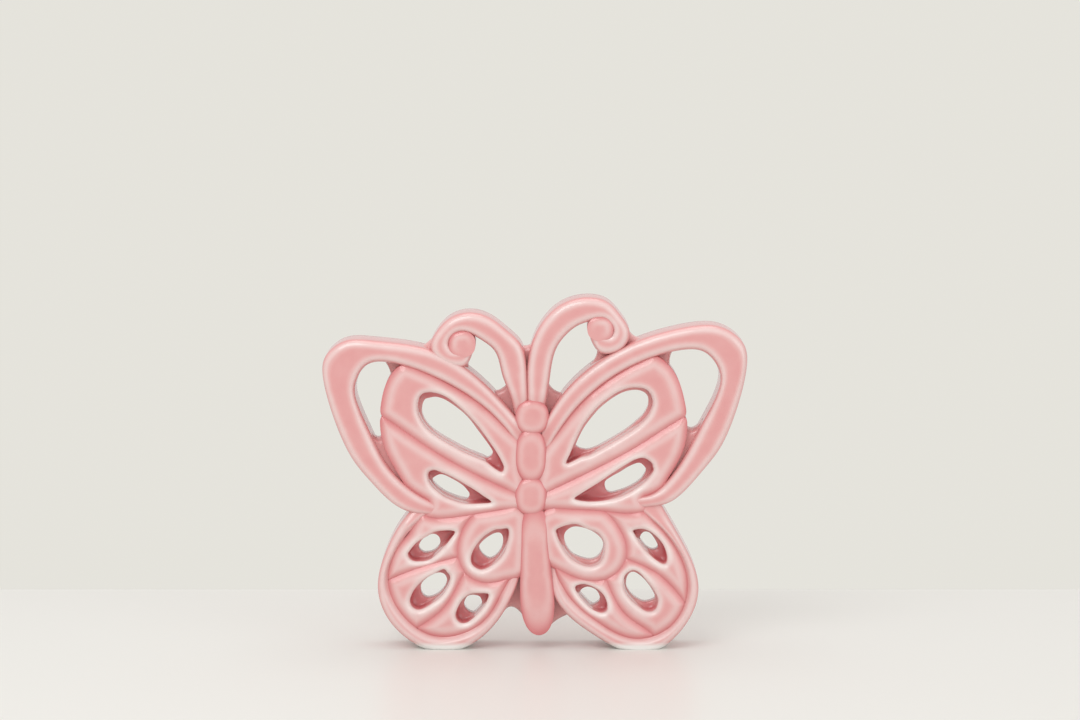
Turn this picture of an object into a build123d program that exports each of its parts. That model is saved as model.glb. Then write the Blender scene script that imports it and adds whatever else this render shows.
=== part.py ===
"""Openwork butterfly ornament in glazed ceramic, standing upright on the flat ends of its hind wings.

The butterfly lies in the XZ plane with its front towards -Y and its feet at z = 0. It is fired as one piece,
but it is put together from separately formed clay elements, whose borders stay visible as grooves. Each
element is a solid of its own here: the beads of the body, the antennae, the wing rims, the pierced cells
that the rims hold, and the thin webs that close the corners between them at mid depth.
"""

import os

from build123d import *

# Overall sizes, in millimetres
SPAN = 140.0  # wing tip to wing tip, along X
HEIGHT = 117.0  # feet to the top of the taller antenna, along Z

# Front to back sizes, all centred on the middle plane
BODY_DEPTH = 19.0
RIM_DEPTH = 18.0
CELL_DEPTH = 16.5
WEB_DEPTH = 5.0

# Front and back edges, sloped off by this much
BEAD_SLOPE = 0.9
RIM_SLOPE = 1.6
HIND_RIM_SLOPE = 0.8
CELL_SLOPE = 0.5
SHORT_EDGE = 8.0  # at the ends of a rim, edges up to this length stay square

# Spiral grooves that part the rolled tip of an antenna from its arch
GROOVE_WIDTH = 1.4
GROOVE_DEEP = 4.0

OVERRUN = 2.0  # how far a cutter runs past the face that it opens

# Points are shares of half the span and of the height; a circle's radius is a share of half the span.
# A band is a list of stations from its root to its end, each with a point on its outer and its inner edge.

BODY_X_SHARE = -0.02
CROWN_SHARE = 0.711  # the top of the head
NECK_SHARE = 0.625  # the height where head and thorax meet, and so on down
CHEST_SHARE = 0.483
LOIN_SHARE = 0.395
BEAD_HALF_SHARE = 0.069  # half the width of a bead at its middle and at its flat ends
BEAD_END_SHARE = 0.038
ABDOMEN_SHARES = [
    (-0.05, LOIN_SHARE),
    (-0.065, 0.315),
    (-0.07, 0.215),
    (-0.06, 0.125),
    (-0.03, 0.066),
    (0.015, 0.042),
    (0.06, 0.066),
    (0.078, 0.125),
    (0.075, 0.215),
    (0.05, 0.315),
    (0.032, LOIN_SHARE),
]

LEFT_SHARES = {
    "antenna": [
        (-0.025, 0.66),
        (-0.035, 0.785),
        (-0.065, 0.865),
        (-0.125, 0.907),
        (-0.205, 0.945),
        (-0.305, 0.955),
        (-0.41, 0.94),
        (-0.475, 0.895),
        (-0.485, 0.85),
        (-0.45, 0.82),
        (-0.39, 0.808),
        (-0.32, 0.825),
        (-0.29, 0.86),
        (-0.262, 0.882),
        (-0.215, 0.867),
        (-0.17, 0.83),
        (-0.15, 0.775),
        (-0.06, 0.66),
    ],
    "spiral": [(-0.25, 0.88), (-0.335, 0.905), (-0.395, 0.88), (-0.39, 0.86), (-0.36, 0.85)],
    "forewing_rim": [
        ((-0.02, 0.61), (-0.05, 0.56)),
        ((-0.18, 0.725), (-0.21, 0.675)),
        ((-0.445, 0.845), (-0.485, 0.78)),
        ((-0.75, 0.88), (-0.735, 0.82)),
        ((-0.89, 0.88), (-0.81, 0.8)),
        ((-0.975, 0.845), (-0.84, 0.765)),
        ((-1.0, 0.785), (-0.845, 0.725)),
        ((-0.895, 0.58), (-0.77, 0.61)),
        ((-0.785, 0.485), (-0.69, 0.52)),
        ((-0.655, 0.41), (-0.555, 0.445)),
        ((-0.525, 0.383), (-0.49, 0.425)),
    ],
    "panel_edge": [
        (-0.55, 0.82),
        (-0.625, 0.81),
        (-0.69, 0.765),
        (-0.72, 0.7),
        (-0.725, 0.63),
        (-0.695, 0.56),
        (-0.625, 0.485),
        (-0.57, 0.405),
    ],
    "panel_base": [(-0.355, 0.38), (-0.21, 0.393), (-0.04, 0.405)],
    "panel_under": [(-0.04, 0.595), (-0.26, 0.725), (-0.445, 0.815), (-0.55, 0.82)],
    "panel_vein": [(-0.765, 0.685), (-0.63, 0.63), (-0.43, 0.55), (-0.195, 0.475), (-0.04, 0.435)],
    "hindwing_rim": [
        ((-0.585, 0.41), (-0.45, 0.415)),
        ((-0.705, 0.3), (-0.64, 0.31)),
        ((-0.745, 0.18), (-0.695, 0.195)),
        ((-0.67, 0.065), (-0.6, 0.08)),
        ((-0.45, -0.01), (-0.43, 0.035)),
        ((-0.23, 0.045), (-0.245, 0.08)),
        ((-0.105, 0.155), (-0.155, 0.165)),
        ((-0.05, 0.25), (-0.1, 0.25)),
    ],
    "ring": [
        (-0.165, 0.412),
        (-0.285, 0.385),
        (-0.35, 0.33),
        (-0.365, 0.275),
        (-0.325, 0.215),
        (-0.235, 0.19),
        (-0.13, 0.205),
        (-0.04, 0.26),
        (-0.02, 0.32),
        (-0.075, 0.385),
    ],
    "outer_vein": [(-0.22, 0.285), (-0.375, 0.262), (-0.51, 0.24), (-0.625, 0.215), (-0.77, 0.175)],
    "bottom_vein": [(-0.27, 0.27), (-0.36, 0.19), (-0.43, 0.12), (-0.535, 0.07), (-0.63, 0.035)],
    "upper_cell": {
        "mouth": [(-0.46, 0.68, 0.1), (-0.25, 0.575, 0.065), (-0.17, 0.52, 0.02)],
        "hole": [(-0.455, 0.68, 0.08), (-0.245, 0.575, 0.045)],
    },
    "lower_cell": {
        "mouth": [(-0.455, 0.485, 0.06), (-0.34, 0.445, 0.045), (-0.23, 0.43, 0.015)],
        "hole": [(-0.45, 0.48, 0.04), (-0.34, 0.445, 0.025)],
    },
    "eye_ring": {
        "mouth": [(-0.25, 0.26, 0.05), (-0.21, 0.29, 0.07), (-0.16, 0.325, 0.035)],
        "hole": [(-0.215, 0.29, 0.045), (-0.19, 0.31, 0.045)],
    },
    "outer_cell": {
        "mouth": [(-0.55, 0.285, 0.05), (-0.48, 0.305, 0.05), (-0.4, 0.33, 0.015)],
        "hole": [(-0.51, 0.3, 0.04), (-0.48, 0.31, 0.035)],
    },
    "middle_cell": {
        "mouth": [(-0.545, 0.14, 0.045), (-0.48, 0.18, 0.055), (-0.43, 0.21, 0.03)],
        "hole": [(-0.49, 0.175, 0.045), (-0.455, 0.195, 0.04)],
    },
    "bottom_cell": {
        "mouth": [(-0.335, 0.1, 0.035), (-0.305, 0.125, 0.045), (-0.24, 0.15, 0.02)],
        "hole": [(-0.3, 0.13, 0.045), (-0.285, 0.135, 0.04)],
    },
    "webs": [
        [(-0.195, 0.733), (-0.14, 0.737), (-0.06, 0.645), (-0.11, 0.62), (-0.2, 0.71)],
        [(-0.38, 0.82), (-0.305, 0.83), (-0.295, 0.785), (-0.35, 0.79)],
        [(-0.525, 0.855), (-0.51, 0.866), (-0.475, 0.875), (-0.455, 0.84)],
        [(-0.685, 0.83), (-0.61, 0.82), (-0.645, 0.77), (-0.68, 0.785)],
        [(-0.76, 0.597), (-0.715, 0.59), (-0.675, 0.54), (-0.59, 0.46), (-0.655, 0.47), (-0.74, 0.545)],
        [(-0.617, 0.405), (-0.56, 0.405), (-0.575, 0.365), (-0.617, 0.37)],
        [(-0.1, 0.22), (-0.05, 0.22), (-0.04, 0.065), (-0.067, 0.095), (-0.1, 0.12), (-0.135, 0.11)],
    ],
}

RIGHT_SHARES = {
    "antenna": [
        (-0.02, 0.66),
        (-0.022, 0.785),
        (0.0, 0.88),
        (0.055, 0.945),
        (0.13, 0.98),
        (0.235, 1.0),
        (0.34, 0.985),
        (0.415, 0.945),
        (0.44, 0.905),
        (0.41, 0.873),
        (0.35, 0.861),
        (0.285, 0.872),
        (0.265, 0.905),
        (0.222, 0.925),
        (0.15, 0.9),
        (0.1, 0.855),
        (0.075, 0.78),
        (0.035, 0.66),
    ],
    "spiral": [(0.225, 0.925), (0.295, 0.94), (0.355, 0.915), (0.355, 0.895), (0.325, 0.895)],
    "forewing_rim": [
        ((0.0, 0.62), (0.03, 0.545)),
        ((0.16, 0.75), (0.2, 0.69)),
        ((0.425, 0.865), (0.465, 0.81)),
        ((0.725, 0.92), (0.73, 0.855)),
        ((0.87, 0.92), (0.815, 0.84)),
        ((0.965, 0.885), (0.86, 0.805)),
        ((1.0, 0.82), (0.87, 0.755)),
        ((0.905, 0.61), (0.775, 0.63)),
        ((0.8, 0.515), (0.69, 0.535)),
        ((0.665, 0.43), (0.565, 0.45)),
        ((0.535, 0.4), (0.5, 0.438)),
    ],
    "panel_edge": [
        (0.52, 0.845),
        (0.595, 0.825),
        (0.665, 0.775),
        (0.7, 0.71),
        (0.715, 0.635),
        (0.69, 0.56),
        (0.62, 0.485),
        (0.575, 0.42),
    ],
    "panel_base": [(0.33, 0.395), (0.15, 0.4), (0.01, 0.41)],
    "panel_under": [(0.01, 0.54), (0.16, 0.705), (0.325, 0.78), (0.52, 0.845)],
    "panel_vein": [(0.75, 0.68), (0.625, 0.635), (0.425, 0.56), (0.2, 0.49), (0.005, 0.435)],
    "hindwing_rim": [
        ((0.595, 0.415), (0.46, 0.415)),
        ((0.71, 0.295), (0.64, 0.315)),
        ((0.775, 0.18), (0.725, 0.185)),
        ((0.71, 0.065), (0.65, 0.07)),
        ((0.52, -0.015), (0.47, 0.03)),
        ((0.28, 0.04), (0.28, 0.085)),
        ((0.105, 0.135), (0.145, 0.165)),
        ((0.055, 0.26), (0.1, 0.26)),
    ],
    "ring": [
        (0.175, 0.417),
        (0.325, 0.395),
        (0.405, 0.338),
        (0.435, 0.28),
        (0.39, 0.22),
        (0.295, 0.195),
        (0.175, 0.21),
        (0.06, 0.26),
        (0.02, 0.32),
        (0.065, 0.385),
    ],
    "outer_vein": [(0.27, 0.295), (0.45, 0.255), (0.57, 0.22), (0.66, 0.17), (0.735, 0.11)],
    "bottom_vein": [(0.305, 0.26), (0.35, 0.18), (0.43, 0.1), (0.52, 0.06), (0.6, 0.01)],
    "upper_cell": {
        "mouth": [(0.47, 0.7, 0.09), (0.35, 0.655, 0.1), (0.225, 0.59, 0.055), (0.165, 0.54, 0.015)],
        "hole": [(0.465, 0.7, 0.07), (0.35, 0.655, 0.08), (0.23, 0.595, 0.04)],
    },
    "lower_cell": {
        "mouth": [(0.5, 0.515, 0.055), (0.425, 0.485, 0.065), (0.33, 0.46, 0.05), (0.2, 0.435, 0.015)],
        "hole": [(0.48, 0.51, 0.045), (0.425, 0.49, 0.045), (0.365, 0.47, 0.03)],
    },
    "eye_ring": {
        "mouth": [(0.255, 0.29, 0.085), (0.205, 0.305, 0.08), (0.135, 0.335, 0.035)],
        "hole": [(0.25, 0.295, 0.065), (0.195, 0.32, 0.055)],
    },
    "outer_cell": {
        "mouth": [(0.595, 0.265, 0.03), (0.545, 0.31, 0.05), (0.495, 0.33, 0.03)],
        "hole": [(0.525, 0.32, 0.035), (0.555, 0.305, 0.035)],
    },
    "middle_cell": {
        "mouth": [(0.535, 0.14, 0.045), (0.495, 0.17, 0.06), (0.465, 0.2, 0.045)],
        "hole": [(0.525, 0.16, 0.04), (0.48, 0.195, 0.045)],
    },
    "bottom_cell": {
        "mouth": [(0.3, 0.132, 0.035), (0.265, 0.15, 0.047), (0.225, 0.168, 0.02)],
        "hole": [(0.27, 0.15, 0.045), (0.25, 0.16, 0.04)],
    },
    "webs": [
        [(0.07, 0.735), (0.115, 0.738), (0.085, 0.695), (0.06, 0.68)],
        [(0.29, 0.865), (0.335, 0.86), (0.345, 0.825), (0.285, 0.8)],
        [(0.43, 0.885), (0.46, 0.88), (0.485, 0.885), (0.48, 0.87), (0.415, 0.855)],
        [(0.57, 0.845), (0.645, 0.845), (0.635, 0.8), (0.585, 0.805)],
        [(0.71, 0.62), (0.76, 0.625), (0.73, 0.56), (0.61, 0.455), (0.55, 0.43), (0.625, 0.515)],
        [(0.57, 0.42), (0.623, 0.42), (0.627, 0.38), (0.575, 0.385)],
        [(0.06, 0.24), (0.1, 0.22), (0.11, 0.15), (0.155, 0.09), (0.065, 0.055)],
    ],
}

# Wing roots end on this strip where the necks between the beads leave room
SPINE_SHARES = [(-0.07, 0.64), (0.03, 0.64), (0.03, 0.397), (-0.07, 0.397)]

MIDDLE_WEB_SHARES = [
    [(-0.07, 0.87), (-0.02, 0.87), (0.005, 0.69), (-0.06, 0.69)],
    [(-0.075, 0.64), (0.045, 0.64), (0.045, 0.37), (-0.075, 0.37)],
]


def at(share):
    """Place of a point in the butterfly's plane."""
    return (share[0] * SPAN / 2, share[1] * HEIGHT)


def band(stations):
    """Face of a band between its outer and its inner edge."""
    outer = [at(station[0]) for station in stations]
    inner = [at(station[1]) for station in stations]
    with BuildSketch() as face:
        with BuildLine():
            Spline(*outer)
            Line(outer[-1], inner[-1])
            Spline(*reversed(inner))
            Line(inner[0], outer[0])
        make_face()
    return face.sketch


def blob(points):
    """Face inside one smooth closed curve."""
    with BuildSketch() as face:
        with BuildLine():
            Spline(*[at(point) for point in points], periodic=True)
        make_face()
    return face.sketch


def bead(low, high):
    """Face of a barrel-shaped bead, flat at the heights where it meets its neighbours."""
    ends = []
    with BuildSketch() as face:
        with BuildLine():
            for out in (-1, 1):
                below = at((BODY_X_SHARE + out * BEAD_END_SHARE, low))
                beside_middle = at((BODY_X_SHARE + out * BEAD_HALF_SHARE, (low + high) / 2))
                above = at((BODY_X_SHARE + out * BEAD_END_SHARE, high))
                ThreePointArc(below, beside_middle, above)
                ends.append((below, above))
            Line(ends[0][0], ends[1][0])
            Line(ends[0][1], ends[1][1])
        make_face()
    return face.sketch


def beside(curve, *corners):
    """Face on one side of a smooth curve, closed by straight lines through the corners."""
    points = [at(point) for point in curve]
    with BuildSketch() as face:
        with BuildLine():
            Spline(*points)
            Polyline(points[-1], *[at(corner) for corner in corners], points[0])
        make_face()
    return face.sketch


def patch(points):
    """Face inside a polygon."""
    with BuildSketch() as face:
        Polygon(*[at(point) for point in points], align=None)
    return face.sketch


def punch(circles):
    """Face drawn tightly round a row of circles."""
    with BuildSketch() as face:
        for x, z, radius in circles:
            with Locations(at((x, z))):
                Circle(radius * SPAN / 2)
        make_hull()
    return face.sketch


def without(face, *others):
    """Face less all others that lie over it."""
    with BuildSketch() as rest:
        add(face)
        for other in others:
            add(other, mode=Mode.SUBTRACT)
    return rest.sketch


def within(face, other):
    """Part of a face that lies in the other."""
    with BuildSketch() as common:
        add(face)
        add(other, mode=Mode.INTERSECT)
    return common.sketch


def keep(solid, name):
    """Label a finished piece and write it."""
    solid.part.label = name
    export_step(solid.part, f"parts/{name}.step")


def slab(name, face, depth, slope, shortest=0):
    """Piece of even depth, with its front and back edges sloped where they are longer than the shortest."""
    with BuildPart() as piece:
        with BuildSketch(Plane.XZ):
            add(face)
        extrude(amount=depth / 2, both=True)
        by_depth = piece.edges().group_by(Axis.Y)
        faces_edges = by_depth[0] + by_depth[-1]
        chamfer(faces_edges.filter_by(lambda edge: edge.length > shortest), slope)
    keep(piece, name)


def pierced_cell(name, face, shares):
    """Cell with a recess from either face and a punched hole through the web between the two."""
    mouth = punch(shares["mouth"])
    with BuildPart() as piece:
        with BuildSketch(Plane.XZ):
            add(face)
        extrude(amount=CELL_DEPTH / 2, both=True)
        for outwards in (1, -1):
            with BuildSketch(Plane.XZ.offset(outwards * WEB_DEPTH / 2)):
                add(mouth)
            extrude(amount=outwards * CELL_DEPTH / 2, mode=Mode.SUBTRACT)
        by_depth = piece.edges().group_by(Axis.Y)
        chamfer(by_depth[0] + by_depth[-1], CELL_SLOPE)
        with BuildSketch(Plane.XZ):
            add(punch(shares["hole"]))
        extrude(amount=CELL_DEPTH / 2, both=True, mode=Mode.SUBTRACT)
    keep(piece, name)


def antenna(name, face, shares):
    """Antenna whose rolled tip is parted from its arch by a spiral groove on either face."""
    start, over, turn, under, end = [at(point) for point in shares["spiral"]]
    with BuildSketch() as groove:
        for points in ((start, over, turn), (turn, under, end)):
            SlotArc(ThreePointArc(*points), GROOVE_WIDTH)
    with BuildPart() as piece:
        with BuildSketch(Plane.XZ):
            add(face)
        extrude(amount=RIM_DEPTH / 2, both=True)
        by_depth = piece.edges().group_by(Axis.Y)
        chamfer(by_depth[0] + by_depth[-1], RIM_SLOPE)
        for outwards in (1, -1):
            with BuildSketch(Plane.XZ.offset(outwards * (RIM_DEPTH / 2 - GROOVE_DEEP))):
                add(groove.sketch)
            extrude(amount=outwards * (GROOVE_DEEP + OVERRUN), mode=Mode.SUBTRACT)
    keep(piece, name)


os.makedirs("parts", exist_ok=True)

# Body: a row of beads, each seated flat on the next
body_faces = [
    bead(NECK_SHARE, CROWN_SHARE),
    bead(CHEST_SHARE, NECK_SHARE),
    bead(LOIN_SHARE, CHEST_SHARE),
    beside(ABDOMEN_SHARES),
]
for name, face in zip(("head", "thorax", "waist", "abdomen"), body_faces):
    slab(name, face, BODY_DEPTH, BEAD_SLOPE)

# Wings and antennae: what is laid first keeps its outline, and what follows fills up to it
spine_face = patch(SPINE_SHARES)
placed_faces = list(body_faces)
for side, shares in (("left", LEFT_SHARES), ("right", RIGHT_SHARES)):
    outward = -1 if side == "left" else 1

    antenna_face = without(beside(shares["antenna"]), *placed_faces)
    antenna(f"{side}_antenna", antenna_face, shares)

    rim_face = without(band(shares["forewing_rim"]), antenna_face, spine_face, *body_faces)
    slab(f"{side}_forewing_rim", rim_face, RIM_DEPTH, RIM_SLOPE, SHORT_EDGE)

    rim_end = shares["forewing_rim"][-1][0]
    base = [at(point) for point in (rim_end, *shares["panel_base"])]
    with BuildSketch() as panel:
        with BuildLine():
            Spline(*[at(point) for point in shares["panel_edge"]])
            Spline(at(shares["panel_edge"][-1]), *base)
            Line(base[-1], at(shares["panel_under"][0]))
            Spline(*[at(point) for point in shares["panel_under"]])
        make_face()
    panel_face = without(panel.sketch, rim_face, spine_face, *body_faces)
    over_vein = beside(shares["panel_vein"], (BODY_X_SHARE, 1), (outward, 1))
    upper_face = within(panel_face, over_vein)
    lower_face = without(panel_face, over_vein)
    pierced_cell(f"{side}_forewing_upper_cell", upper_face, shares["upper_cell"])
    pierced_cell(f"{side}_forewing_lower_cell", lower_face, shares["lower_cell"])

    forewing_faces = [rim_face, upper_face, lower_face]
    ring_face = without(blob(shares["ring"]), *forewing_faces, *body_faces)
    pierced_cell(f"{side}_hindwing_eye_ring", ring_face, shares["eye_ring"])

    below_feet = patch([(-1, 0), (1, 0), (1, -1), (-1, -1)])
    hind_band = band(shares["hindwing_rim"])
    hind_rim_face = without(hind_band, below_feet, ring_face, *forewing_faces, *body_faces)
    slab(f"{side}_hindwing_rim", hind_rim_face, RIM_DEPTH, HIND_RIM_SLOPE, SHORT_EDGE)

    middle_line = [
        tuple((o + i) / 2 for o, i in zip(outer, inner)) for outer, inner in shares["hindwing_rim"]
    ]
    eye = shares["outer_vein"][0]
    field = beside(middle_line, eye, (eye[0], middle_line[0][1]))
    field_face = without(field, hind_rim_face, ring_face, *forewing_faces, *body_faces)
    over_outer = beside(shares["outer_vein"], (outward, 1), (eye[0], 1))
    under_bottom = beside(shares["bottom_vein"], (outward, -1), (0, -1), (0, eye[1]))
    outer_face = within(field_face, over_outer)
    bottom_face = within(field_face, under_bottom)
    middle_face = without(field_face, over_outer, under_bottom)
    pierced_cell(f"{side}_hindwing_outer_cell", outer_face, shares["outer_cell"])
    pierced_cell(f"{side}_hindwing_middle_cell", middle_face, shares["middle_cell"])
    pierced_cell(f"{side}_hindwing_bottom_cell", bottom_face, shares["bottom_cell"])

    placed_faces += [antenna_face, *forewing_faces, ring_face, hind_rim_face]
    placed_faces += [outer_face, middle_face, bottom_face]

# Webs: thin membranes at mid depth that close the corners between the elements
web_shares = MIDDLE_WEB_SHARES + LEFT_SHARES["webs"] + RIGHT_SHARES["webs"]
with BuildPart() as webs:
    for points in web_shares:
        with BuildSketch(Plane.XZ):
            add(without(patch(points), *placed_faces))
        extrude(amount=WEB_DEPTH / 2, both=True)
keep(webs, "corner_webs")
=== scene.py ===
import math

import bpy
import numpy as np
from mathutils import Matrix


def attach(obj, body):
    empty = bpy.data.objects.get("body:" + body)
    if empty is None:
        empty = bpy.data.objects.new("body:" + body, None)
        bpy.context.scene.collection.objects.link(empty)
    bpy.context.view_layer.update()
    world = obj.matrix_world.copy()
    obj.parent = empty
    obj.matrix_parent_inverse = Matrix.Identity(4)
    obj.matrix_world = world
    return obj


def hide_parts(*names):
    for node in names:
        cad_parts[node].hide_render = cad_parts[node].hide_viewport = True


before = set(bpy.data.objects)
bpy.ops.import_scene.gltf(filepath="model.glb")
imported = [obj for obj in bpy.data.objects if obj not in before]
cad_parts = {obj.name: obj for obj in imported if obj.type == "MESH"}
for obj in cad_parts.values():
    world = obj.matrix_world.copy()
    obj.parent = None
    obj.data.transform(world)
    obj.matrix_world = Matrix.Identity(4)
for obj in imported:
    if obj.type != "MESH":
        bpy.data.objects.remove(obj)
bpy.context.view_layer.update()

# Camera: about 1.2 m in front of the butterfly, higher than its antennae, looking slightly down.
# It has a long lens and frames a picture of 1080 by 720 pixels.
PHOTO_WIDE = 1080
PHOTO_HIGH = 720
SENSOR_WIDE = 36.0
LENS_PX = 3617.0
PITCH = math.radians(6.5)
MM_PER_M = 1000
EYE = np.array([1.7, -1190.4, 231.4])  # in millimetres, as all sizes of the butterfly
camera = bpy.data.objects.new("camera", bpy.data.cameras.new("camera"))
bpy.context.collection.objects.link(camera)
camera.location = EYE / MM_PER_M
camera.rotation_euler = (math.pi / 2 - PITCH, 0, 0)
camera.data.sensor_width = SENSOR_WIDE
camera.data.lens = SENSOR_WIDE * LENS_PX / PHOTO_WIDE
bpy.context.scene.camera = camera
bpy.context.scene.view_settings.view_transform = "Standard"

# Stage: a pale, slightly glossy floor that ends 10 cm behind the butterfly, and an even backdrop.
# Large round lamps stand in front on either side and above, and soft light comes from all round.
FLOOR_REACH = 3.0  # in metres
FLOOR_BACK = 0.105
floor_corners = [
    (-FLOOR_REACH, -FLOOR_REACH, 0),
    (FLOOR_REACH, -FLOOR_REACH, 0),
    (FLOOR_REACH, FLOOR_BACK, 0),
    (-FLOOR_REACH, FLOOR_BACK, 0),
]
floor_mesh = bpy.data.meshes.new("floor")
floor_mesh.from_pydata(floor_corners, [], [(0, 1, 2, 3)])
floor = bpy.data.objects.new("floor", floor_mesh)
bpy.context.collection.objects.link(floor)
floor_look = bpy.data.materials.new("floor")
floor_look.use_nodes = True
floor_bsdf = floor_look.node_tree.nodes["Principled BSDF"]
floor_bsdf.inputs["Base Color"].default_value = (0.81, 0.805, 0.775, 1)
floor_bsdf.inputs["Roughness"].default_value = 0.35
floor_mesh.materials.append(floor_look)

world = bpy.data.worlds.new("world")
bpy.context.scene.world = world
world.use_nodes = True
tree = world.node_tree
light_path = tree.nodes.new("ShaderNodeLightPath")
soft_light = tree.nodes["Background"]
soft_light.inputs["Color"].default_value = (0.95, 0.93, 0.90, 1)
soft_light.inputs["Strength"].default_value = 0.8
backdrop = tree.nodes.new("ShaderNodeBackground")
backdrop.inputs["Color"].default_value = (0.785, 0.77, 0.715, 1)
choose = tree.nodes.new("ShaderNodeMixShader")
tree.links.new(light_path.outputs["Is Camera Ray"], choose.inputs["Fac"])
tree.links.new(soft_light.outputs["Background"], choose.inputs[1])
tree.links.new(backdrop.outputs["Background"], choose.inputs[2])
tree.links.new(choose.outputs["Shader"], tree.nodes["World Output"].inputs["Surface"])
for name, place, size, power, tilt in (
    ("key", (-0.35, -0.75, 0.85), 0.7, 3.6, (42, 0, -25)),
    ("fill", (0.8, -0.7, 0.35), 0.8, 1.2, (70, 0, 50)),
    ("top", (0.0, 0.1, 0.9), 0.6, 1.1, (0, 0, 0)),
):
    lamp = bpy.data.objects.new(name, bpy.data.lights.new(name, "AREA"))
    lamp.data.shape = "DISK"
    lamp.data.size = size
    lamp.data.energy = power
    lamp.location = place
    lamp.rotation_euler = tuple(math.radians(angle) for angle in tilt)
    bpy.context.collection.objects.link(lamp)

# Body: four clay beads in a row that cover the roots of the wings, fired in one piece with them.
# They stand out as low domes with soft pink creases round them.
BODY_HALF_DEPTH = 9.3
BEAD_FALL = 1.2  # how far a bead's edge lies behind its middle
BEAD_ROWS = 16
BEAD_INNERMOST = 0.08  # share of the quarter turn at the row round the pole
BEAD_TONE = 0.05  # tones of the glaze run from -1, thin and pale, to 1, pooled and red
BEAD_CREASE = (0.45, 0.0, 0.8)  # redder band: amount, way in from the edge, width
BEAD_RING = (-0.22, 2.0, 1.0)  # paler band inside it
BEAD_SIDE_TONE = 0.4
BEAD_WIDEST = 6.0  # a longer way from edge to middle counts as this long for the bands
OVAL_POWER = 2.3  # an ellipse has 2, and more is nearer to a rectangle
CURVE_STEPS = 8
LEAST_STEP = 0.15
ROUND_STEPS = 720
BEAD_EVERY = 6
ABDOMEN_STEPS = 160
ABDOMEN_PIXELS = [
    (534, 508), (527, 511), (522, 522), (521, 545), (520.5, 570), (520, 592), (521, 609), (524, 622),
    (530, 632), (538.5, 636), (547, 632.5), (552.5, 622), (554.5, 607), (553.5, 589), (551, 569),
    (548.5, 546), (547, 522), (542, 511),
]

# Their glaze, which all pieces share, is a glossy, translucent pink over white clay. It thins to
# near white where it runs off crests, pools to red in recesses, and stops above the feet.
CREST_COLOUR = (0.90, 0.765, 0.745, 1)
POOL_COLOUR = (0.52, 0.05, 0.065, 1)
CLAY_COLOUR = (0.86, 0.84, 0.82, 1)
UNEVENNESS = 0.30
BARE_BELOW = 0.0012  # in metres above the floor
GLAZED_ABOVE = 0.0026
glaze = bpy.data.materials.new("glaze")
glaze.use_nodes = True
nodes = glaze.node_tree.nodes
links = glaze.node_tree.links
bsdf = nodes["Principled BSDF"]
pool = nodes.new("ShaderNodeAttribute")
pool.attribute_name = "pool"
where = nodes.new("ShaderNodeTexCoord")
cloud = nodes.new("ShaderNodeTexNoise")
cloud.inputs["Scale"].default_value = 160
cloud.inputs["Detail"].default_value = 4
links.new(where.outputs["Object"], cloud.inputs["Vector"])
uneven = nodes.new("ShaderNodeMath")
uneven.operation = "MULTIPLY_ADD"
uneven.inputs[1].default_value = UNEVENNESS
uneven.inputs[2].default_value = -UNEVENNESS / 2
links.new(cloud.outputs["Fac"], uneven.inputs[0])
amount = nodes.new("ShaderNodeMath")
amount.operation = "ADD"
links.new(pool.outputs["Fac"], amount.inputs[0])
links.new(uneven.outputs["Value"], amount.inputs[1])
spread = nodes.new("ShaderNodeMapRange")
spread.inputs["From Min"].default_value = -1
spread.inputs["From Max"].default_value = 1
links.new(amount.outputs["Value"], spread.inputs["Value"])
ramp = nodes.new("ShaderNodeValToRGB")
stops = ramp.color_ramp.elements
stops[0].position = 0.0
stops[0].color = CREST_COLOUR
stops[1].position = 1.0
stops[1].color = POOL_COLOUR
for position, colour in (
    (0.25, (0.84, 0.61, 0.60, 1)),
    (0.5, (0.78, 0.39, 0.385, 1)),
    (0.72, (0.71, 0.24, 0.25, 1)),
):
    stops.new(position).color = colour
links.new(spread.outputs["Result"], ramp.inputs["Fac"])
height = nodes.new("ShaderNodeSeparateXYZ")
links.new(where.outputs["Object"], height.inputs["Vector"])
bare = nodes.new("ShaderNodeMapRange")
bare.inputs["From Min"].default_value = BARE_BELOW
bare.inputs["From Max"].default_value = GLAZED_ABOVE
bare.inputs["To Min"].default_value = 1
bare.inputs["To Max"].default_value = 0
links.new(height.outputs["Z"], bare.inputs["Value"])
outside = nodes.new("ShaderNodeMix")
outside.data_type = "RGBA"
outside.inputs["B"].default_value = CLAY_COLOUR
links.new(bare.outputs["Result"], outside.inputs["Factor"])
links.new(ramp.outputs["Color"], outside.inputs["A"])
links.new(outside.outputs["Result"], bsdf.inputs["Base Color"])
gloss = nodes.new("ShaderNodeMapRange")
gloss.inputs["To Min"].default_value = 0.16
gloss.inputs["To Max"].default_value = 0.65
links.new(bare.outputs["Result"], gloss.inputs["Value"])
links.new(gloss.outputs["Result"], bsdf.inputs["Roughness"])
ripple = nodes.new("ShaderNodeTexNoise")
ripple.inputs["Scale"].default_value = 220
ripple.inputs["Detail"].default_value = 2
links.new(where.outputs["Object"], ripple.inputs["Vector"])
bump = nodes.new("ShaderNodeBump")
bump.inputs["Strength"].default_value = 0.12
bump.inputs["Distance"].default_value = 0.0012
links.new(ripple.outputs["Fac"], bump.inputs["Height"])
links.new(bump.outputs["Normal"], bsdf.inputs["Normal"])
bsdf.inputs["Coat Weight"].default_value = 0.3
bsdf.inputs["Coat Roughness"].default_value = 0.06


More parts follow.
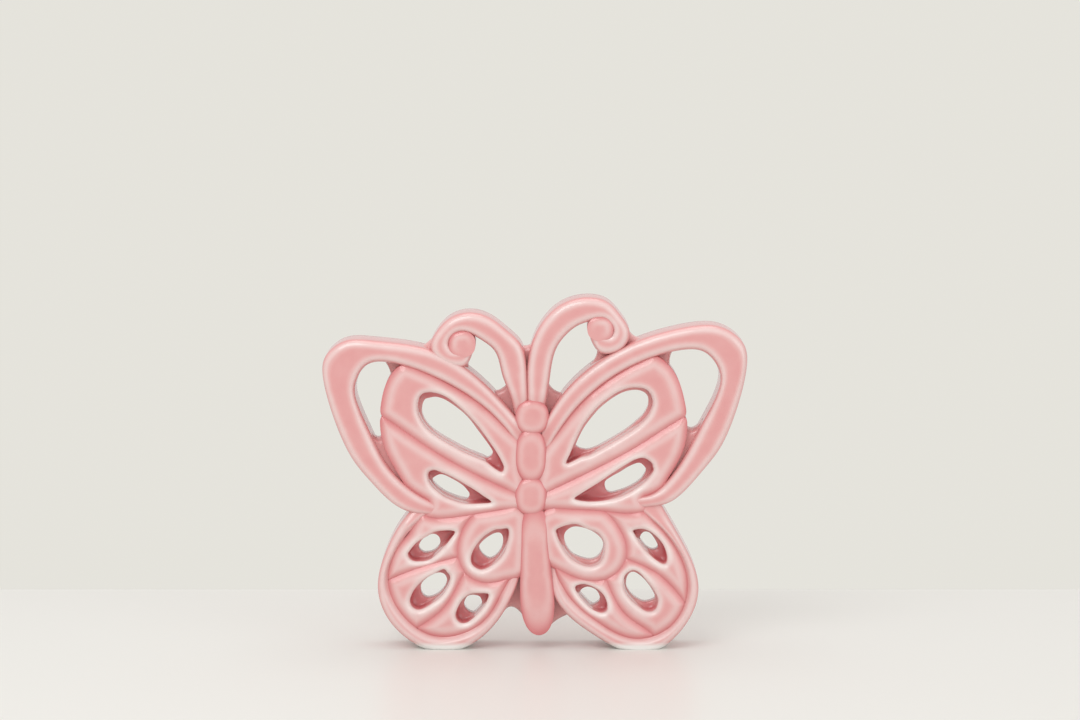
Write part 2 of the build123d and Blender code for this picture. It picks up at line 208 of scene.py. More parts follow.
def skin(grid, pooled, ring=False):
    """Closed skin on a grid of points whose columns run round: four-sided faces between its rows.

    The rows also run round, or else the first and the last are closed by fans from their mean point.
    The faces are turned round where the volume that they enclose comes out below zero.
    """
    rows, columns = grid.shape[:2]
    points = grid.reshape(-1, 3)
    values = np.asarray(pooled, float).ravel()
    index = np.arange(rows * columns).reshape(rows, columns)
    if ring:
        index = np.vstack((index, index[:1]))
    along = np.roll(index, -1, axis=1)
    kinds = [np.stack((index[:-1], along[:-1], along[1:], index[1:]), axis=-1).reshape(-1, 4)]
    if not ring:
        points = np.vstack((points, grid[0].mean(axis=0), grid[-1].mean(axis=0)))
        values = np.append(values, [values[index[0]].mean(), values[index[-1]].mean()])
        pole = np.full(columns, rows * columns)
        kinds.append(np.stack((along[0], index[0], pole), axis=1))
        kinds.append(np.stack((index[-1], along[-1], pole + 1), axis=1))
    corner_a, corner_b, corner_c = (points[np.hstack([kind[:, k] for kind in kinds])] for k in range(3))
    facing = np.cross(corner_b - corner_a, corner_c - corner_a)
    volume = np.einsum("ij,ij->", corner_a - points.mean(axis=0), facing)
    if volume < 0:
        kinds = [kind[:, ::-1] for kind in kinds]
    return points, kinds, values


def glazed(node, skins):
    """One glazed piece of one or more closed skins, which stands for a CAD node."""
    starts = np.cumsum([0] + [len(points) for points, _, _ in skins])
    points = np.vstack([points for points, _, _ in skins]) / MM_PER_M
    pooled = np.concatenate([values for _, _, values in skins])
    faces = []
    for (_, kinds, _), start in zip(skins, starts):
        for kind in kinds:
            faces += (kind + start).tolist()
    mesh = bpy.data.meshes.new(node)
    mesh.from_pydata(points.tolist(), [], faces)
    mesh.attributes.new("pool", "FLOAT", "POINT").data.foreach_set("value", pooled)
    mesh.polygons.foreach_set("use_smooth", np.ones(len(faces), bool))
    mesh.materials.append(glaze)
    piece = bpy.data.objects.new(node + "_glazed", mesh)
    bpy.context.collection.objects.link(piece)
    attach(piece, "root")
    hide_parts(node)


def band(way, amount, middle, wide):
    """Bell curve: the amount times the exponential of minus the squared way from its middle, in widths."""
    return amount * np.exp(-(((way - middle) / wide) ** 2))


def around(centre, radii, angles, depths):
    """Grid at these depths: the centre plus the radii times the cosine and sine of the directions."""
    across = centre[0] + radii * np.cos(angles)
    upwards = centre[1] + radii * np.sin(angles)
    return np.stack((across, depths, upwards), axis=-1)


def bead(centre, border, angles, half_depth, crease=1.0, ring=BEAD_RING):
    """Flat dome on either face inside a border: it falls with the fifth power of the way out."""
    outwards = np.sin(np.linspace(BEAD_INNERMOST, 1, BEAD_ROWS) * math.pi / 2)[:, None]
    front = half_depth - crease * BEAD_FALL * outwards**5 + 0 * border
    away = (1 - outwards) * np.minimum(border, BEAD_WIDEST)
    radii = np.vstack((outwards, [[1]], outwards[::-1])) * border
    depths = np.vstack((-front, 0 * border[None], front[::-1]))
    tone = BEAD_TONE + crease * (band(away, *BEAD_CREASE) + band(away, *ring))
    tones = np.vstack((tone, 0 * border[None] + BEAD_SIDE_TONE, tone[::-1]))
    return skin(around(centre, radii, angles, depths), tones)


def oval(half_wide, half_high, angles):
    """Radius of a full oval in each direction: the shares of both half sizes, to a power, sum to one."""
    wide_share = (np.abs(np.cos(angles)) / half_wide) ** OVAL_POWER
    high_share = (np.abs(np.sin(angles)) / half_high) ** OVAL_POWER
    return (wide_share + high_share) ** (-1 / OVAL_POWER)


def seen(points, depth):
    """Places in the butterfly's front view where the camera's rays through pixels meet that depth."""
    pixels = np.asarray(points, float)
    right = (pixels[:, 0] - PHOTO_WIDE / 2) / LENS_PX
    up = (PHOTO_HIGH / 2 - pixels[:, 1]) / LENS_PX
    ahead = math.cos(PITCH) + up * math.sin(PITCH)
    rise = up * math.cos(PITCH) - math.sin(PITCH)
    run = (depth - EYE[1]) / ahead
    return np.stack((EYE[0] + run * right, EYE[2] + run * rise), axis=1)


def closed_edges(points):
    """Edges of a smooth closed curve through the points: cubics with the slope of their neighbours."""
    before, after, next_after = (np.roll(points, k, axis=0)[:, None] for k in (1, -1, -2))
    here = points[:, None]
    t = np.linspace(0, 1, CURVE_STEPS, endpoint=False)[None, :, None]
    curve = 0.5 * (
        2 * here
        + (after - before) * t
        + (2 * before - 5 * here + 4 * after - next_after) * t**2
        + (3 * here - before - 3 * after + next_after) * t**3
    ).reshape(-1, 2)
    return np.stack((curve, np.roll(curve, -1, axis=0)), axis=1)


def reach(edges, centre, angles):
    """Farthest crossing of any edge with the ray from the centre in each direction.

    An edge with its ends on either side of a ray crosses it at the share that their distances give.
    """
    a, b = edges[:, 0] - centre, edges[:, 1] - centre
    way = np.stack((np.cos(angles), np.sin(angles)))
    side = np.stack((-np.sin(angles), np.cos(angles)))
    side_a, side_b = a @ side, b @ side
    share = side_a / np.where(side_a == side_b, 1e-9, side_a - side_b)
    far = (a @ way) + share * ((b - a) @ way)
    return np.where(side_a * side_b <= 0, far, 0).max(axis=0)


def even_angles(radius, count):
    """Directions that step evenly along a closed outline given by its radius at even angles.

    The angle is read off against the running length, with a little added so that no step is zero.
    """
    angles = np.linspace(0, 2 * math.pi, len(radius), endpoint=False)
    edge = radius[:, None] * np.stack((np.cos(angles), np.sin(angles)), axis=1)
    steps = np.linalg.norm(np.roll(edge, -1, axis=0) - edge, axis=1)
    steps = steps + LEAST_STEP * radius.mean() / len(radius)
    run = np.concatenate(([0], np.cumsum(steps)))
    full = np.append(angles, 2 * math.pi)
    return np.interp(np.linspace(0, run[-1], count, endpoint=False), run, full)


all_round = np.linspace(0, 2 * math.pi, ROUND_STEPS, endpoint=False)
bead_round = all_round[::BEAD_EVERY]
for name, centre, half_wide, half_high in (
    ("head", (-0.9, 77.7), 5.5, 5.6),
    ("thorax", (-1.3, 64.9), 5.1, 8.7),
    ("waist", (-1.3, 51.3), 5.2, 6.2),
):
    glazed(name, [bead(centre, oval(half_wide, half_high, bead_round), bead_round, BODY_HALF_DEPTH)])
abdomen = closed_edges(seen(ABDOMEN_PIXELS, -BODY_HALF_DEPTH))
abdomen_middle = abdomen.reshape(-1, 2).mean(axis=0)
abdomen_round = even_angles(reach(abdomen, abdomen_middle, all_round), ABDOMEN_STEPS)
abdomen_border = reach(abdomen, abdomen_middle, abdomen_round)
glazed("abdomen", [bead(abdomen_middle, abdomen_border, abdomen_round, BODY_HALF_DEPTH)])

# Pierced cells: pillows of clay that fill the wings between the grooves, fired in one piece with the
# rims. Each is hollowed from both faces down to a web, and a hole goes through the web off centre,
# so the hollow ends in a red tail beside the hole.
CELL_HALF_DEPTH = 8.25
CELL_CROWN = 0.3  # how far the pillow rises above that
CELL_STEPS = 220
FINE_STEPS = 1440
WEB_HALF_DEPTH = 2.5
BODY_MIDDLE = -1.3
BODY_NEAR = 4.0  # so near the body's middle, a cell has its whole tuck
ROOT_TUCK = 2.0  # how far a cell runs on under the bead beside it
ROOT_FADE = 3.5
BORDER_LAP = 0.35  # how far a cell runs on under its other neighbours
EASE_REACH = 4  # neighbours on either side that a border is averaged with
OUTLINE_PARTS = 4
SHOULDER_WAY = math.radians(150)  # towards the outer shoulder of the left hind wing
SHOULDER_SPREAD = 0.5
LEAST_RIDGE = 1.6  # between a hollow and the border of its cell
LEAST_LEDGE = 0.3  # between a hole and the wall of its hollow
LEDGE_NARROW = 0.6
LEDGE_SHADE = 2.2  # so much wider than a narrow ledge, one is as red as it gets
LEDGE_TONE = -0.3
LEDGE_REDDER = 0.95
FOOT_WIDE = 0.5  # how far the wall leans in at its foot
FOOT_SHARE = 0.6  # as a share of the ledge, where that is less
LIP_WIDE = 1.6
LIP_DEEP = 1.3
LIP_START = 1.5  # how far below the face the lip leaves the wall
CREASE_WIDE = 4.0
CREASE_DEEP = 1.4
PILLOW_ROWS = 18
PILLOW_START = 0.1
CELL_TONE = 0.05
CELL_CREASE = (0.36, 0.0, 1.1)  # redder band: amount, way in from the border, width
CELL_RING = (-0.4, 2.8, 1.3)  # paler band inside it
CELL_LIP = (-0.8, 0.5, 1.2)  # palest band, beside the hollow
CELL_SIDE_TONE = 0.5


def node_edges(node):
    """Edges of a CAD node, seen from the front, as pairs of points in millimetres."""
    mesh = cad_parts[node].data
    points = np.empty(len(mesh.vertices) * 3)
    mesh.vertices.foreach_get("co", points)
    pairs = np.empty(len(mesh.edges) * 2, int)
    mesh.edges.foreach_get("vertices", pairs)
    return points.reshape(-1, 3)[pairs.reshape(-1, 2)][:, :, [0, 2]] * MM_PER_M


def eased(values):
    """Values round a closed outline, each averaged with its neighbours, the nearest counting most."""
    weights = np.hanning(2 * EASE_REACH + 3)[1:-1]
    shifts = range(-EASE_REACH, EASE_REACH + 1)
    total = sum(weight * np.roll(values, shift) for weight, shift in zip(weights, shifts))
    return total / weights.sum()


def apart(grid, centre, radius, angles):
    """Least distance of each point of a flat grid from a closed outline, given by its radii.

    The distance is measured to the outline's points and to others that part each step evenly.
    """
    line = centre + radius[:, None] * np.stack((np.cos(angles), np.sin(angles)), axis=1)
    step = np.roll(line, -1, axis=0) - line
    line = np.concatenate([line + k / OUTLINE_PARTS * step for k in range(OUTLINE_PARTS)])
    return np.array([np.sqrt(((row[:, None] - line) ** 2).sum(axis=2).min(axis=1)) for row in grid])


def pierced(name, mouth_pixels, hole_pixels, drawn_in=0.0):
    """Ring of rows out from the hole: web, floor and wall of the hollow, the pillow, then its border.

    The pillow falls with the square of the way into the lip of its hollow and into its border's crease.
    """
    hole_points = seen(hole_pixels, -WEB_HALF_DEPTH)
    mouth_edges = closed_edges(seen(mouth_pixels, -CELL_HALF_DEPTH))
    centre = hole_points.mean(axis=0)
    fine = np.linspace(0, 2 * math.pi, FINE_STEPS, endpoint=False)
    both = reach(node_edges(name), centre, fine) + reach(mouth_edges, centre, fine)
    angles = even_angles(both, CELL_STEPS)
    border = eased(reach(node_edges(name), centre, angles)) + BORDER_LAP
    to_body = np.abs(centre[0] + border * np.cos(angles) - BODY_MIDDLE)
    border = border + band(np.maximum(to_body - BODY_NEAR, 0), ROOT_TUCK, 0, ROOT_FADE)
    border = border - band(angles, drawn_in, SHOULDER_WAY, SHOULDER_SPREAD)
    mouth = np.minimum(reach(mouth_edges, centre, angles), border - LEAST_RIDGE)
    hole = np.minimum(reach(closed_edges(hole_points), centre, angles), mouth - LEAST_LEDGE)
    ledge = mouth - hole
    foot = np.minimum(FOOT_WIDE, FOOT_SHARE * ledge)
    pooled = LEDGE_TONE + LEDGE_REDDER * np.clip((ledge - LEDGE_NARROW) / LEDGE_SHADE, 0, 1)
    hollow = (  # radius, depth and share of the pooled tone, from the hole to the lip
        (hole, 0.0, 0.7),
        (hole, WEB_HALF_DEPTH - 0.5, 0.65),
        (hole + np.minimum(0.15, 0.2 * ledge), WEB_HALF_DEPTH - 0.12, 0.6),
        (hole + 0.4 * (ledge - foot), WEB_HALF_DEPTH, 0.85),
        (mouth - foot, WEB_HALF_DEPTH + 0.05, 1.0),
        (mouth - 0.64 * foot, WEB_HALF_DEPTH + 0.6, 0.95),
        (mouth - 0.36 * foot, (WEB_HALF_DEPTH + CELL_HALF_DEPTH) / 2, 0.75),
        (mouth, CELL_HALF_DEPTH - LIP_START, 0.2),
    )
    share = (0.5 - 0.5 * np.cos(np.linspace(PILLOW_START, 1, PILLOW_ROWS) * math.pi))[:, None]
    pillow = mouth + share * (border - mouth)
    flat = around(centre, pillow, angles, 0 * pillow)[..., [0, 2]]
    inside = apart(flat, centre, mouth, angles)
    away = apart(flat, centre, border, angles)
    lip = np.clip(1 - inside / LIP_WIDE, 0, 1)
    crease = np.clip(1 - away / CREASE_WIDE, 0, 1)
    front = CELL_HALF_DEPTH + CELL_CROWN - LIP_DEEP * lip**2 - CREASE_DEEP * crease**2
    tone = CELL_TONE + band(away, *CELL_CREASE) + band(away, *CELL_RING) + band(inside, *CELL_LIP)
    radii = np.vstack([radius for radius, _, _ in hollow] + [pillow])
    depths = np.vstack([np.full(CELL_STEPS, depth) for _, depth, _ in hollow] + [front])
    tones = np.vstack([part * pooled for _, _, part in hollow] + [tone])
    radii = np.vstack((radii, border[None], radii[:0:-1]))
    depths = np.vstack((-depths, 0 * border[None], depths[:0:-1]))
    tones = np.vstack((tones, 0 * border[None] + CELL_SIDE_TONE, tones[:0:-1]))
    glazed(name, [skin(around(centre, radii, angles, depths), tones, ring=True)])


# Upper cells of the forewings: broad clay pillows under the rims, joined to the body at their roots.
# One large oval opening goes through each, and a narrow tail of its hollow points to the body.
pierced(
    "left_forewing_upper_cell",
    mouth_pixels=[
        (421.5, 395), (429, 393), (437, 394), (446, 397.5), (455, 404), (463, 411), (471, 419),
        (478, 427), (484, 435), (490, 443.5), (494.5, 450), (499, 457.5), (503.5, 467), (502, 472),
        (498, 471), (491.5, 466.5), (485, 461.5), (477, 458), (465, 453), (451, 445.5), (439, 438.5),
        (429, 431), (422, 422), (418, 412), (418, 402),
    ],
    hole_pixels=[
        (424.5, 400), (429, 398), (435.5, 397), (442, 398.5), (448, 401.5), (456, 407), (464, 413.5),
        (471, 421), (477, 429), (483, 437), (488.5, 444.5), (492.5, 451), (492, 455), (488, 458),
        (483, 457), (471, 452), (457, 445.5), (445, 439), (435.5, 432), (427, 423.5), (422.5, 415),
        (422, 407),
    ],
)
pierced(
    "right_forewing_upper_cell",
    mouth_pixels=[
        (566.5, 463.5), (571, 453), (574.5, 444), (578.5, 435), (583.5, 425.5), (590, 416.5),
        (598, 407.5), (607, 400), (617.5, 393), (627.5, 389), (636.5, 388), (645, 389.5), (650.5, 394),
        (653, 401), (652.5, 407.5), (648, 416.5), (641, 424), (631, 431.5), (617.5, 440),
        (604.5, 447.5), (594.5, 453), (588, 456), (581, 457.5), (574, 461),
    ],
    hole_pixels=[
        (576, 444), (580.5, 434), (585.5, 425.5), (592, 417), (599.5, 408.5), (608.5, 401),
        (618.5, 394.5), (627.5, 391), (636.5, 390), (643.5, 392), (647.5, 396), (648.5, 401.5),
        (647.5, 407.5), (643, 415.5), (636, 422), (627.5, 429), (615.5, 437), (603.5, 444),
        (594.5, 448), (587.5, 450), (580.5, 449), (576.5, 446.5),
    ],
)

# Lower cells of the forewings: narrower clay pillows below the upper ones, joined to the body at
# their roots. Each has a long hollow, with a slot through its outer end.
pierced(
    "left_forewing_lower_cell",
    mouth_pixels=[
        (428.5, 473.5), (434, 471), (441, 473), (450.5, 477), (459, 481.5), (466.5, 486), (474, 490.5),
        (482, 496), (491, 502.5), (480, 504), (467, 504), (456, 501.5), (444, 496.5), (434, 488.5),
        (429, 481),
    ],
    hole_pixels=[
        (432.5, 480), (436, 476), (442, 474.5), (450.5, 478), (461.5, 484.5), (467.5, 490.5),
        (469.5, 494.5), (467.5, 499), (460.5, 499), (448.5, 494), (438, 487.5),
    ],
)
pierced(
    "right_forewing_lower_cell",
    mouth_pixels=[
        (644, 459), (651, 463), (653, 467), (653, 472), (645, 482), (634, 490), (620, 497), (604, 501),
        (588, 502), (575, 499), (585, 492), (598, 484), (611, 475), (625, 466), (636, 460),
    ],
    hole_pixels=[
        (605, 482), (611, 477), (620, 472), (628, 467), (638, 463), (643, 465), (646, 470), (643, 477),
        (637, 483), (628, 488), (620, 491), (611, 493), (606, 490),
    ],
)

# Eye rings: the round cells beside the abdomen, thick rings of clay with the other cells of the hind
# wing grouped round them. Each has a slanting oval hollow, and the right one is larger.
pierced(
    "left_hindwing_eye_ring",
    mouth_pixels=[
        (508, 530), (508, 540), (503, 554), (494, 564), (482, 570), (473, 566), (471, 558), (475, 548),
        (483, 538), (494, 531), (501, 530),
    ],
    hole_pixels=[
        (479, 547), (484, 540), (493, 534), (500, 533), (503, 538), (502, 547), (497, 555), (490, 559),
        (483, 555),
    ],
)
pierced(
    "right_hindwing_eye_ring",
    mouth_pixels=[
        (557, 530), (567, 526), (577, 525), (588, 530), (598, 534), (604, 543), (604, 554), (600, 563),
        (591, 567), (581, 565), (570, 558), (561, 545), (557, 535),
    ],
    hole_pixels=[
        (565, 533), (573, 527), (584, 528), (595, 533), (602, 540), (603, 548), (598, 557), (590, 560),
        (580, 558), (571, 553), (565, 543),
    ],
)

# Outer, middle and bottom cells of the hind wings: three clay lobes that radiate from each eye ring
# to the rim. Each has a teardrop hollow with a hole through it.
pierced(
    "left_hindwing_outer_cell",
    mouth_pixels=[
        (454, 532), (437, 532), (427, 537), (417, 543), (410, 551), (408, 555), (411, 560), (418, 562),
        (430, 560), (441, 550), (450, 540),
    ],
    hole_pixels=[
        (419, 545), (424, 538), (433, 534), (439, 537), (440, 544), (434, 551), (425, 553), (420, 550),
    ],
    drawn_in=1.4,
)
pierced(
    "left_hindwing_middle_cell",
    mouth_pixels=[
        (447, 573), (443, 570), (433, 575), (423, 581), (414, 591), (410, 601), (413, 608), (420, 610),
        (430, 605), (441, 597), (448, 587), (450, 578),
    ],
    hole_pixels=[
        (421, 585), (427, 578), (437, 573), (444, 574), (447, 580), (444, 588), (437, 595), (428, 598),
        (422, 594),
    ],
)
pierced(
    "left_hindwing_bottom_cell",
    mouth_pixels=[
        (488, 595), (480, 594), (470, 595), (463, 600), (458, 608), (456, 617), (460, 623), (467, 623),
        (475, 617), (483, 608), (487, 601),
    ],
    hole_pixels=[
        (482, 604), (479, 610), (473, 613), (467, 610), (464, 604), (467, 597), (473, 595), (480, 597),
    ],
)
pierced(
    "right_hindwing_outer_cell",
    mouth_pixels=[
        (634, 531), (644, 530), (654, 535), (663, 545), (667, 557), (665, 564), (657, 561), (648, 553),
        (640, 543), (635, 535),
    ],
    hole_pixels=[(640, 538), (644, 532), (651, 534), (658, 546), (653, 550), (645, 546)],
)
pierced(
    "right_hindwing_middle_cell",
    mouth_pixels=[
        (624, 581), (626, 575), (633, 571), (640, 574), (648, 583), (655, 593), (658, 601), (655, 610),
        (648, 612), (640, 608), (631, 600), (625, 591),
    ],
    hole_pixels=[
        (626, 583), (628, 575), (634, 572), (643, 578), (651, 588), (655, 597), (651, 601), (643, 602),
        (634, 597), (628, 590),
    ],
)
pierced(
    "right_hindwing_bottom_cell",
    mouth_pixels=[
        (576, 587), (584, 585), (594, 588), (603, 595), (607, 604), (606, 611), (600, 613), (591, 609),
        (583, 601), (577, 593),
    ],
    hole_pixels=[
        (600, 599), (596, 604), (589, 605), (582, 601), (579, 595), (582, 589), (589, 587), (597, 591),
    ],
)

# Rims: thick bands of clay round the wings, with round shoulders and a flat middle, one piece with
# the cells. The hind ones are cut off level at the bottom, where the butterfly stands on bare clay.
RIM_HALF_DEPTH = 9.0
HALF_SPAN = 70.0
HEIGHT = 117.0
FOOT_LEVEL = 0.0
ROLL_STEPS = 260
SHOULDER_ROWS = 8
FLAT_ROWS = 7
WIDEST_SHOULDER = 0.48  # as a share of the band's width
SUNK_CREST = 0.25  # share of the rounding that is left where an end sinks in
RIM_TONE = 0.08
RIM_EDGE = (0.25, 0.0, 0.5)  # redder band: amount, way in from either edge, width
RIM_CREST = (-0.58, 1.5, 1.2)  # paler band inside it
FOREWING_FORM = {"rounding": 2.6, "sinks": ((6.0, 1.5), (16.0, 1.4))}
HINDWING_FORM = {"rounding": 2.2, "sinks": ((9.0, 1.7), (14.0, 2.5)), "ease": 1.7, "level": FOOT_LEVEL}


def through(points, count):
    """Natural cubic spline through the points, evenly divided in the square root of chord length."""
    points = np.asarray(points, float)
    steps = np.sqrt(np.linalg.norm(np.diff(points, axis=0), axis=1))
    knots = np.concatenate(([0], np.cumsum(steps)))
    slopes = np.diff(points, axis=0) / steps[:, None]
    size = len(points)
    matrix = np.eye(size)
    right = np.zeros_like(points)
    for k in range(1, size - 1):
        matrix[k, k - 1 : k + 2] = steps[k - 1], 2 * (steps[k - 1] + steps[k]), steps[k]
        right[k] = 6 * (slopes[k] - slopes[k - 1])
    bend = np.linalg.solve(matrix, right)
    t = np.linspace(0, knots[-1], count)
    k = np.clip(np.searchsorted(knots, t, "right") - 1, 0, size - 2)
    h, a, b = (v[:, None] for v in (steps[k], knots[k + 1] - t, t - knots[k]))
    ends = (points[k] / h - bend[k] * h / 6) * a + (points[k + 1] / h - bend[k + 1] * h / 6) * b
    return ends + bend[k] * a**3 / (6 * h) + bend[k + 1] * b**3 / (6 * h)


def rolled(outer, inner, rounding, sinks, ease=None, level=None):
    """Band carried along between an outer and an inner edge: its shoulders fall as quarter circles.

    With an ease, the inner shoulder falls by that much instead, as half a cosine wave. Towards either
    end the band sinks along a smooth step, over a length and by a depth, and its rounding fades.
    Nothing of it goes below a level, where one is given.
    """
    both = through(np.hstack((outer, inner)), ROLL_STEPS)
    outer, inner = both[:, :2], both[:, 2:]
    middle_line = (outer + inner) / 2
    run = np.cumsum(np.linalg.norm(np.diff(middle_line, axis=0, prepend=middle_line[:1]), axis=1))
    half_depth = RIM_HALF_DEPTH
    crest = 1.0
    for (length, sink), way in zip(sinks, (run, run[-1] - run)):
        rise = np.clip(way / length, 0, 1)
        half_depth = half_depth - sink * (1 - rise * rise * (3 - 2 * rise))
        crest = crest * np.where(sink > 0, SUNK_CREST + (1 - SUNK_CREST) * rise, 1.0)
    width = np.linalg.norm(inner - outer, axis=1)[:, None]
    shoulder = np.minimum(rounding, width * WIDEST_SHOULDER)
    quarter = np.linspace(0, 1, SHOULDER_ROWS)[None] * math.pi / 2
    near = shoulder * (1 - np.cos(quarter))
    middle = shoulder + (width - 2 * shoulder) * np.linspace(0, 1, FLAT_ROWS)[None, 1:-1]
    across = np.hstack((near, middle, width - near[:, ::-1]))
    edge = np.minimum(across, width - across)
    outside, inside = (np.clip(1 - way / shoulder, 0, 1) for way in (across, width - across))
    fall = shoulder * (1 - np.sqrt(1 - outside**2))
    if ease is None:
        fall = fall + shoulder * (1 - np.sqrt(1 - inside**2))
    else:
        fall = fall + ease * (0.5 - 0.5 * np.cos(math.pi * inside))
    front = half_depth[:, None] - crest[:, None] * fall
    share = np.hstack((across, across[:, ::-1])) / width
    flat = outer[:, None] + share[..., None] * (inner - outer)[:, None]
    depths = np.hstack((-front, front[:, ::-1]))
    grid = np.stack((flat[..., 0], depths, flat[..., 1]), axis=-1)
    if level is not None:
        grid[..., 2] = np.maximum(grid[..., 2], level)
    tone = RIM_TONE + crest[:, None] * (band(edge, *RIM_EDGE) + band(edge, *RIM_CREST))
    return skin(grid, np.hstack((tone, tone[:, ::-1])))


# Outer and inner edge at each station, as shares of half the span and of the height.
for name, form, stations in (
    (
        "left_forewing_rim",
        FOREWING_FORM,
        [
            ((-0.045, 0.632), (-0.07, 0.575)), ((-0.18, 0.725), (-0.21, 0.675)),
            ((-0.445, 0.845), (-0.485, 0.78)), ((-0.75, 0.88), (-0.735, 0.82)),
            ((-0.89, 0.88), (-0.81, 0.8)), ((-0.975, 0.845), (-0.84, 0.765)),
            ((-1.0, 0.785), (-0.845, 0.725)), ((-0.895, 0.58), (-0.77, 0.61)),
            ((-0.785, 0.485), (-0.69, 0.52)), ((-0.655, 0.41), (-0.555, 0.445)),
            ((-0.535, 0.387), (-0.445, 0.412)), ((-0.4, 0.384), (-0.36, 0.4)),
        ],
    ),
    (
        "right_forewing_rim",
        FOREWING_FORM,
        [
            ((0.03, 0.63), (0.045, 0.555)), ((0.16, 0.75), (0.2, 0.69)),
            ((0.425, 0.865), (0.465, 0.81)), ((0.725, 0.92), (0.73, 0.855)),
            ((0.87, 0.92), (0.815, 0.84)), ((0.965, 0.885), (0.86, 0.805)),
            ((1.0, 0.82), (0.87, 0.755)), ((0.905, 0.61), (0.775, 0.63)),
            ((0.8, 0.515), (0.69, 0.535)), ((0.665, 0.43), (0.565, 0.45)),
            ((0.568, 0.409), (0.478, 0.434)), ((0.427, 0.398), (0.38, 0.417)),
        ],
    ),
    (
        "left_hindwing_rim",
        HINDWING_FORM,
        [
            ((-0.575, 0.405), (-0.46, 0.41)), ((-0.652, 0.345), (-0.59, 0.34)),
            ((-0.709, 0.275), (-0.656, 0.28)), ((-0.744, 0.18), (-0.696, 0.192)),
            ((-0.67, 0.065), (-0.6, 0.08)), ((-0.45, -0.01), (-0.43, 0.035)),
            ((-0.23, 0.045), (-0.245, 0.08)), ((-0.105, 0.155), (-0.155, 0.165)),
            ((-0.05, 0.25), (-0.1, 0.25)),
        ],
    ),
    (
        "right_hindwing_rim",
        HINDWING_FORM,
        [
            ((0.595, 0.415), (0.46, 0.415)), ((0.71, 0.295), (0.64, 0.315)),
            ((0.775, 0.18), (0.725, 0.185)), ((0.71, 0.065), (0.65, 0.07)),
            ((0.52, -0.015), (0.47, 0.03)), ((0.28, 0.04), (0.28, 0.085)),
            ((0.105, 0.135), (0.145, 0.165)), ((0.055, 0.26), (0.1, 0.26)),
        ],
    ),
):
    places = np.array(stations) * (HALF_SPAN, HEIGHT)
    glazed(name, [rolled(places[:, 0], places[:, 1], **form)])

# Antennae: thick rolls of clay that rise from the head, arch outwards and curl round a flat knob.
# They are one piece with the head, and a crease winds round each knob and fades on one side.
ANTENNA_FORM = {"rounding": 2.6, "sinks": ((8.0, 2.0), (1.0, 0.0))}
KNOB_HALF_DEPTH = RIM_HALF_DEPTH + 0.1
KNOB_CREASE = 0.9
KNOB_RING = (-0.45, 2.0, 1.0)
for name, edge_pixels, knob_pixel, knob_wide, knob_high, fades_at in (
    (
        "left_antenna",
        [
            ((528, 416), (515, 416)), ((528, 396), (510, 397)), ((527, 372), (502.5, 377)),
            ((522, 347), (498.5, 361)), ((508, 332), (493, 350)), ((491, 319), (483, 342)),
            ((470, 313), (471, 335)), ((449, 319), (460, 333)), ((435, 334), (452, 338)),
            ((430, 348), (450, 345)), ((438, 361), (454, 350)), ((454, 368), (459, 349)),
            ((466, 366), (462, 347)), ((471, 358), (463, 345)), ((474, 349), (464, 343)),
        ],
        (462, 344.5), 4.4, 4.3, math.radians(-55),
    ),
    (
        "right_antenna",
        [
            ((527, 416), (543, 416)), ((527, 395), (547, 397)), ((527, 370), (550, 378)),
            ((533, 340), (555, 353)), ((546, 318), (565, 337)), ((563, 304), (577, 327)),
            ((585, 298), (590, 322)), ((607, 302), (602, 320)), ((621, 316), (610, 325)),
            ((630, 333), (612, 332)), ((623, 349), (608, 336)), ((607, 355), (604, 334)),
            ((598, 352), (601, 332)), ((592, 343), (600, 330)), ((589, 334), (599, 328)),
        ],
        (600.5, 329), 4.3, 4.0, math.radians(-125),
    ),
):
    outer, inner = (seen(np.array(edge_pixels)[:, k], -RIM_HALF_DEPTH) for k in (0, 1))
    arch = rolled(outer, inner, **ANTENNA_FORM)
    crease = KNOB_CREASE * (0.5 - 0.5 * np.cos(bead_round - fades_at))
    centre = seen([knob_pixel], -RIM_HALF_DEPTH)[0]
    border = oval(knob_wide, knob_high, bead_round)
    glazed(name, [arch, bead(centre, border, bead_round, KNOB_HALF_DEPTH, crease, KNOB_RING)])

# Corner webs: thin membranes of clay at mid depth where the elements meet, with hollow free edges.
# They are one piece with the rest, so each starts hidden inside its neighbours. The spine is such a
# web inside the beads, from the head down to the abdomen.
WEB_STEPS = 24
WEB_ROWS = 12
WEB_EDGE = 2.0  # how far in from its free edge a web is rounded
WEB_TONE = 0.08
WEB_EDGE_PALER = 0.33
SIDE_WEB_HALF_DEPTH = 5.0
SPINE_HALF_DEPTH = 6.8
SPINE_FREE = np.array([(-6.4, 42), (-1.2, 41), (4.6, 42)])
SPINE_HIDDEN = np.array([(-5.6, 79), (4.0, 79)])


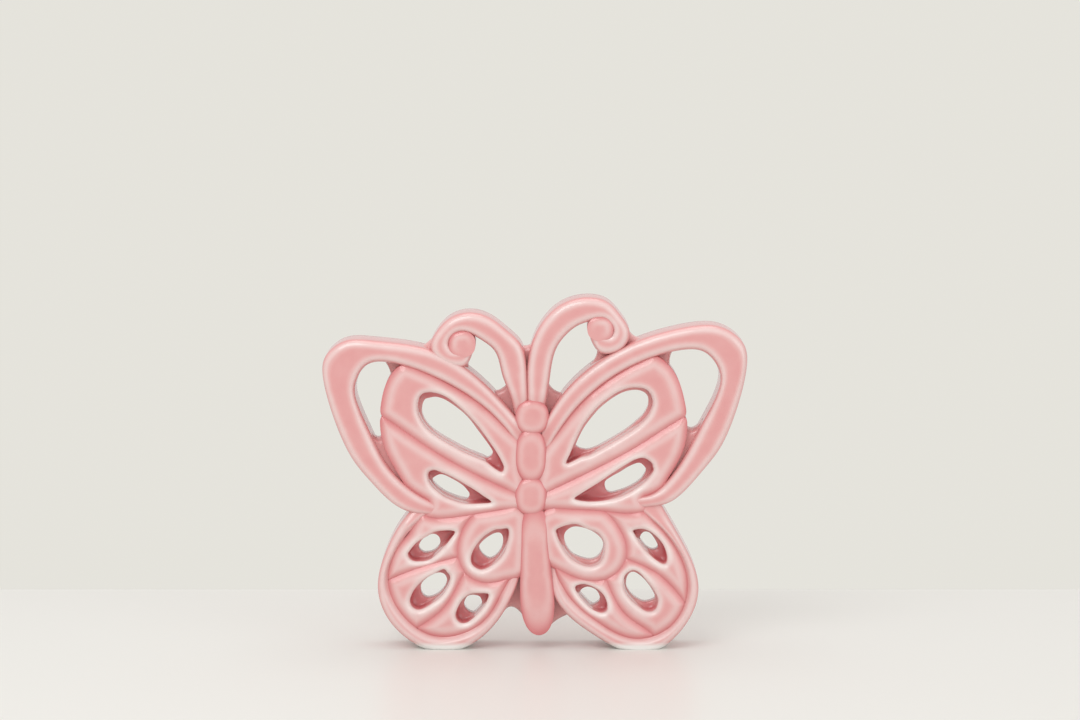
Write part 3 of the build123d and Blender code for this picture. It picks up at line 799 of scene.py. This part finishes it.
def membrane(free, hidden, half_depth):
    """Sheet from a straight hidden edge to a free edge, a parabola through three points.

    Its depth falls as a quarter ellipse to nothing at the free edge.
    """
    along = np.linspace(0, 1, WEB_STEPS)[:, None]
    first, middle, last = free
    slope = 4 * middle - 3 * first - last
    bow = 2 * first + 2 * last - 4 * middle
    edge = first + along * slope + along**2 * bow
    root = hidden[0] + along * (hidden[1] - hidden[0])
    share = np.sin(np.linspace(0, 1, WEB_ROWS) * math.pi / 2)
    flat = root[:, None] + share[:, None] * (edge - root)[:, None]
    away = (1 - share) * np.linalg.norm(edge - root, axis=1)[:, None]
    rounded = np.clip(1 - away / WEB_EDGE, 0, 1)
    depth = half_depth * np.sqrt(1 - rounded**2)
    tone = WEB_TONE - WEB_EDGE_PALER * rounded
    both = np.concatenate((flat, flat[:, -2::-1]), axis=1)
    depths = np.hstack((-depth, depth[:, -2::-1]))
    grid = np.stack((both[..., 0], depths, both[..., 1]), axis=-1)
    return skin(grid, np.hstack((tone, tone[:, -2::-1])))


webs = [
    membrane(seen(free_pixels, -half_depth), seen(hidden_pixels, -half_depth), half_depth)
    for half_depth, free_pixels, hidden_pixels in (
        (WEB_HALF_DEPTH, ((516, 342), (525, 346), (534, 342)), ((523, 415), (531, 415))),
        (WEB_HALF_DEPTH, ((482, 384), (495, 391), (507, 384)), ((505, 418), (518, 418))),
        (WEB_HALF_DEPTH, ((547, 378), (554, 390), (569, 394)), ((541, 420), (552, 418))),
        (WEB_HALF_DEPTH, ((471, 358), (469, 368), (478, 380)), ((455, 360), (457, 374))),
        (WEB_HALF_DEPTH, ((413, 350), (424, 345), (434, 336)), ((425, 362), (442, 354))),
        (WEB_HALF_DEPTH, ((378, 356), (389, 370), (390, 387)), ((402, 356), (404, 380))),
        (SIDE_WEB_HALF_DEPTH, ((368, 428), (377, 438), (384, 430)), ((395, 490), (412, 490))),
        (WEB_HALF_DEPTH, ((404, 504), (409, 516), (404, 527)), ((428, 503), (428, 527))),
        (WEB_HALF_DEPTH, ((503, 614), (512, 608), (523, 617)), ((514, 560), (529, 560))),
        (WEB_HALF_DEPTH, ((545, 633), (556, 622), (570, 615)), ((542, 560), (556, 560))),
        (WEB_HALF_DEPTH, ((593, 342), (597, 353), (590, 365)), ((614, 343), (614, 359))),
        (WEB_HALF_DEPTH, ((628, 328), (636, 337), (649, 337)), ((616, 342), (640, 352))),
        (WEB_HALF_DEPTH, ((676, 348), (670, 361), (674, 378)), ((654, 350), (654, 374))),
        (SIDE_WEB_HALF_DEPTH, ((683, 421), (692, 429), (703, 420)), ((663, 482), (684, 482))),
        (WEB_HALF_DEPTH, ((667, 498), (661, 513), (669, 524)), ((643, 499), (643, 521))),
    )
]
spine = membrane(SPINE_FREE, SPINE_HIDDEN, SPINE_HALF_DEPTH)
glazed("corner_webs", webs + [spine])
